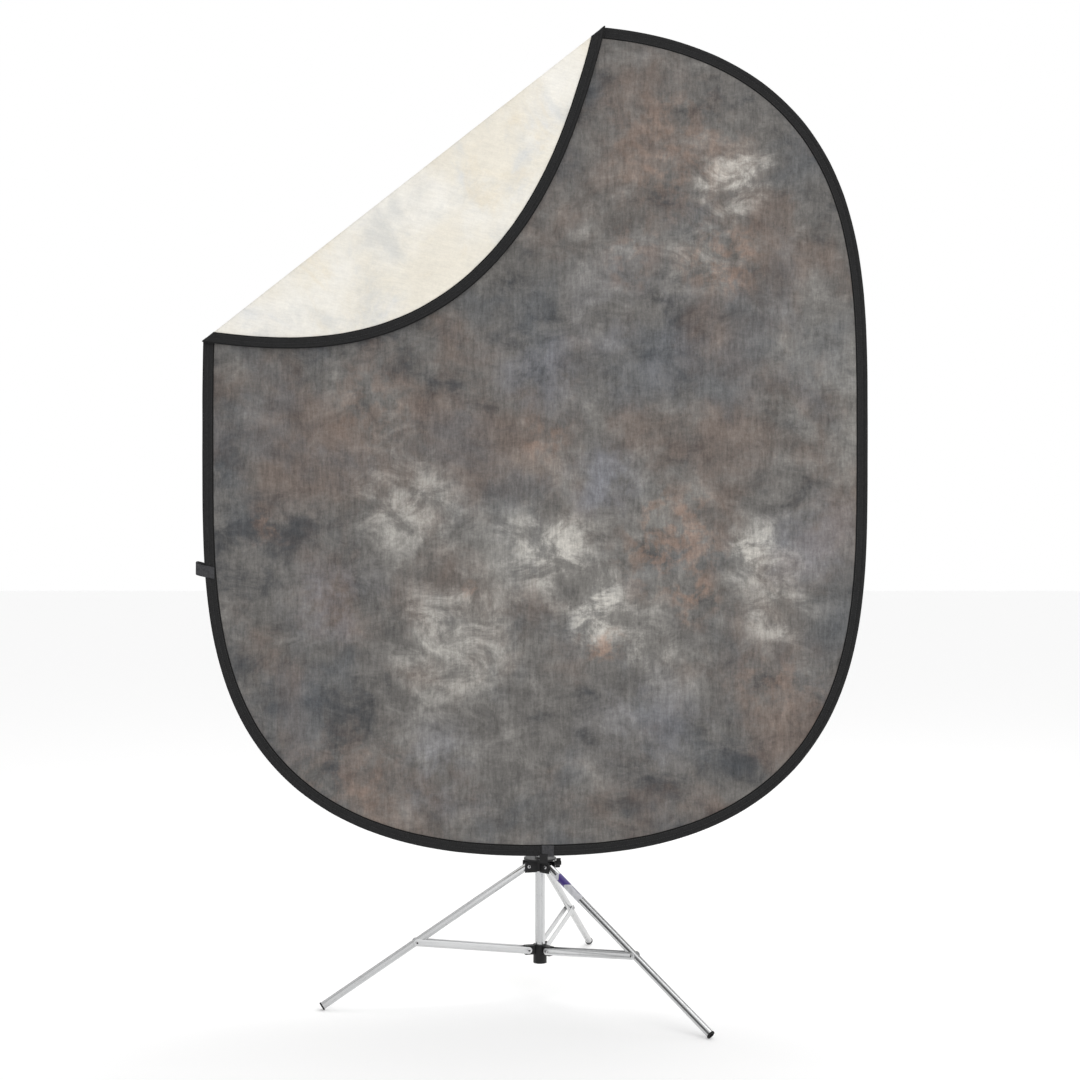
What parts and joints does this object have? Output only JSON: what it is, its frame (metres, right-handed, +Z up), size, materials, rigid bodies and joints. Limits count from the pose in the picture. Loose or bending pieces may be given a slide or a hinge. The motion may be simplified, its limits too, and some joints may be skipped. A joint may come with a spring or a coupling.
{
  "type": "folding fabric backdrop panel on a light stand",
  "caption": "Sprung two-sided fabric background panel with one corner folded over, held on a three-leg telescopic stand with folding legs.",
  "frame": {"origin": "floor level, at the middle of the overall width and depth", "axes": "+Z up, -Y the panel's viewed face, +X to the viewer's right"},
  "size_m": [1.4769, 0.8253, 2.138],
  "materials": {
    "binding_black": "black edge tape",
    "webbing": "woven webbing",
    "muslin_grey": "mottled grey-brown muslin",
    "muslin_cream": "mottled cream muslin",
    "hoop_steel": "spring steel",
    "tube_silver": "satin tube",
    "rivet_steel": "plated",
    "plastic_black": "moulded",
    "rubber_black": "matte",
    "label_paper": "plain wrap label",
    "pad_loop": "hook-and-loop"
  },
  "bodies": {
    "base": {"column_tube": "tube_silver", "lower_spider": "plastic_black", "lock_collar_1": "plastic_black", "lower_rivet_1": "rivet_steel", "lower_rivet_2": "rivet_steel", "lower_rivet_3": "rivet_steel"},
    "leg_collar": {"leg_collar": "plastic_black", "top_rivet_1": "rivet_steel", "top_rivet_2": "rivet_steel", "top_rivet_3": "rivet_steel"},
    "leg_knob": {"leg_knob": "plastic_black", "leg_knob_screw": "rivet_steel"},
    "lock_knob_1": {"lock_knob_1": "plastic_black", "lock_knob_1_screw": "rivet_steel"},
    "lock_knob_2": {"lock_knob_2": "plastic_black", "lock_knob_2_screw": "rivet_steel"},
    "head_knob": {"head_knob": "plastic_black", "head_knob_screw": "rivet_steel"},
    "second_section": {"second_section": "tube_silver", "lock_collar_2": "plastic_black"},
    "third_section": {"third_section": "tube_silver", "top_stud": "rivet_steel", "rest_head": "plastic_black", "grip_pad": "pad_loop"},
    "panel": {"binding": "binding_black", "spring_hoop": "hoop_steel", "front_fabric": "muslin_grey", "back_fabric": "muslin_cream", "side_loop": "webbing", "bottom_loop": "webbing"},
    "flap": {"flap_binding": "binding_black", "flap_hoop": "hoop_steel", "hoop_ferrule": "rivet_steel", "flap_front_fabric": "muslin_grey", "flap_back_fabric": "muslin_cream"},
    "leg_1": {"leg_tube_1": "tube_silver", "foot_cap_1": "rubber_black"},
    "brace_1": {"brace_strip_1a": "tube_silver", "brace_strip_1b": "tube_silver", "strip_rivet_1a": "rivet_steel", "strip_rivet_1b": "rivet_steel"},
    "leg_2": {"leg_tube_2": "tube_silver", "foot_cap_2": "rubber_black", "leg_label": "label_paper"},
    "brace_2": {"brace_strip_2a": "tube_silver", "brace_strip_2b": "tube_silver", "strip_rivet_2a": "rivet_steel", "strip_rivet_2b": "rivet_steel"},
    "leg_3": {"leg_tube_3": "tube_silver", "foot_cap_3": "rubber_black"},
    "brace_3": {"brace_strip_3a": "tube_silver", "brace_strip_3b": "tube_silver", "strip_rivet_3a": "rivet_steel", "strip_rivet_3b": "rivet_steel"}
  },
  "joints": [
    {"name": "leg_collar_slide", "type": "slide", "parent": "base", "child": "leg_collar", "axis": [0, 0, 1], "range_m": [0, 0.361]},
    {"name": "panel_lift", "type": "slide", "parent": "leg_collar", "child": "panel", "axis": [0, 0, 1], "range_m": [0, 0.15]},
    {"name": "corner_fold", "type": "hinge", "parent": "panel", "child": "flap", "pos_m": [-0.37546, -0.11496, 1.71813], "axis": [-0.7873, 0, -0.6166], "range_deg": [0, 179.5]},
    {"name": "second_slide", "type": "slide", "parent": "base", "child": "second_section", "axis": [0, 0, 1], "range_m": [-0.55, 0]},
    {"name": "third_slide", "type": "slide", "parent": "second_section", "child": "third_section", "axis": [0, 0, 1], "range_m": [-0.535, 0]},
    {"name": "leg_knob_turn", "type": "hinge", "parent": "leg_collar", "child": "leg_knob", "pos_m": [0.01748, -0.06471, 0.29048], "axis": [0.9659, 0.2588, 0], "continuous": true},
    {"name": "lock_knob_1_turn", "type": "hinge", "parent": "base", "child": "lock_knob_1", "pos_m": [0.01748, -0.06471, 0.783], "axis": [0, 1, 0], "continuous": true},
    {"name": "lock_knob_2_turn", "type": "hinge", "parent": "second_section", "child": "lock_knob_2", "pos_m": [0.01748, -0.06471, 1.388], "axis": [0, 1, 0], "continuous": true},
    {"name": "head_knob_turn", "type": "hinge", "parent": "third_section", "child": "head_knob", "pos_m": [0.01748, -0.06471, 1.962], "axis": [0, 1, 0], "continuous": true},
    {"name": "leg_1_fold", "type": "hinge", "parent": "leg_collar", "child": "leg_1", "pos_m": [-0.00952, -0.07215, 0.28748], "axis": [0.2656, -0.9641, 0], "range_deg": [0, 55.38]},
    {"name": "brace_1_fold", "type": "hinge", "parent": "base", "child": "brace_1", "pos_m": [-0.00952, -0.07215, 0.101], "axis": [-0.2656, 0.9641, 0], "range_deg": [0, 78.75]},
    {"name": "leg_2_fold", "type": "hinge", "parent": "leg_collar", "child": "leg_2", "pos_m": [0.03741, -0.08437, 0.28748], "axis": [0.7022, 0.712, 0], "range_deg": [0, 55.38]},
    {"name": "brace_2_fold", "type": "hinge", "parent": "base", "child": "brace_2", "pos_m": [0.03741, -0.08437, 0.101], "axis": [-0.7022, -0.712, 0], "range_deg": [0, 78.75]},
    {"name": "leg_3_fold", "type": "hinge", "parent": "leg_collar", "child": "leg_3", "pos_m": [0.02453, -0.03761, 0.28748], "axis": [-0.9677, 0.2521, 0], "range_deg": [0, 55.38]},
    {"name": "brace_3_fold", "type": "hinge", "parent": "base", "child": "brace_3", "pos_m": [0.02453, -0.03761, 0.101], "axis": [0.9677, -0.2521, 0], "range_deg": [0, 78.75]}
  ],
  "couplings": [
    {"joint": "leg_1_fold", "follows": "leg_collar_slide", "rad_per_m": 2.6749},
    {"joint": "brace_1_fold", "follows": "leg_collar_slide", "rad_per_m": 3.8049},
    {"joint": "leg_2_fold", "follows": "leg_collar_slide", "rad_per_m": 2.6749},
    {"joint": "brace_2_fold", "follows": "leg_collar_slide", "rad_per_m": 3.8049},
    {"joint": "leg_3_fold", "follows": "leg_collar_slide", "rad_per_m": 2.6749},
    {"joint": "brace_3_fold", "follows": "leg_collar_slide", "rad_per_m": 3.8049}
  ]
}
